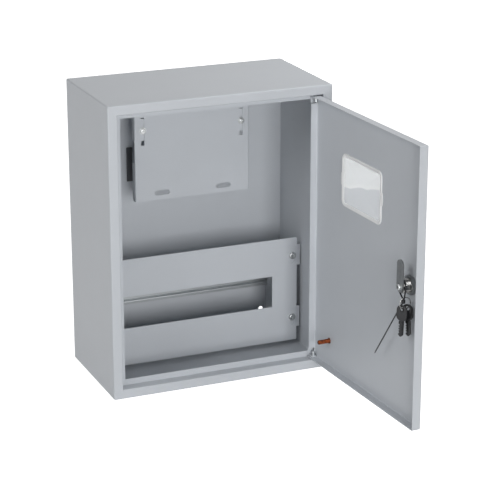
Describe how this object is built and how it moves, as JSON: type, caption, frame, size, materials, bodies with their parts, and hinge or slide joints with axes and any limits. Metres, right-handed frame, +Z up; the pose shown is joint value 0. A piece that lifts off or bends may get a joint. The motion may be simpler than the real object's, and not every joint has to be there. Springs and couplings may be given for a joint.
{
  "type": "wall-mounted metal electrical enclosure",
  "caption": "Wall-mounted sheet-steel electrical enclosure with a hinged, windowed, lockable door, an inner meter panel and a slotted cover over a module rail.",
  "frame": {"origin": "middle of the four wall holes, on the wall plane at the back of the enclosure", "axes": "+X to the right seen from the front, +Y into the wall, +Z up; the front faces -Y"},
  "size_m": [0.3103, 0.4336, 0.395],
  "materials": {
    "enclosure_paint": "satin light-grey powder coat",
    "zinc_steel": "bright zinc plating",
    "lock_chrome": "polished nickel chrome",
    "key_steel": "nickel-plated steel",
    "copper_plate": "copper plating, dulled",
    "clear_plastic": "clear moulded plastic",
    "black_plastic": "matt black moulded plastic"
  },
  "bodies": {
    "enclosure": {"body_shell": "enclosure_paint", "back_panel": "enclosure_paint", "cable_plugs": "black_plastic", "hinge_leaf_upper": "enclosure_paint", "hinge_leaf_lower": "enclosure_paint", "hinge_pin_upper": "zinc_steel", "hinge_pin_lower": "zinc_steel", "body_earth_stud": "copper_plate", "meter_panel": "enclosure_paint", "meter_bracket_left": "enclosure_paint", "meter_bracket_right": "enclosure_paint", "meter_washers": "zinc_steel", "meter_screws": "zinc_steel", "meter_nuts": "zinc_steel", "module_cover": "enclosure_paint", "cover_bracket_left": "enclosure_paint", "cover_bracket_right": "enclosure_paint", "cover_screws": "zinc_steel", "din_rail": "zinc_steel", "rail_rivets": "zinc_steel"},
    "door": {"door_panel": "enclosure_paint", "window": "clear_plastic", "door_earth_stud": "copper_plate", "lock_housing": "lock_chrome", "lock_nut": "zinc_steel", "cable_tie": "black_plastic", "key_ring": "key_steel", "key_bows": "black_plastic", "key_blades": "key_steel"},
    "lock": {"lock_plug": "lock_chrome", "lock_cam": "zinc_steel", "cam_screw": "zinc_steel"}
  },
  "joints": [
    {"name": "door_hinge", "type": "hinge", "parent": "enclosure", "child": "door", "pos_m": [0.1338, -0.1593, 0], "axis": [0, 0, 1], "range_deg": [-93, 12]},
    {"name": "lock_turn", "type": "hinge", "parent": "door", "child": "lock", "pos_m": [0.15235, -0.40427, -0.001], "axis": [0.9986, 0.0523, 0], "range_deg": [0, 90]}
  ]
}
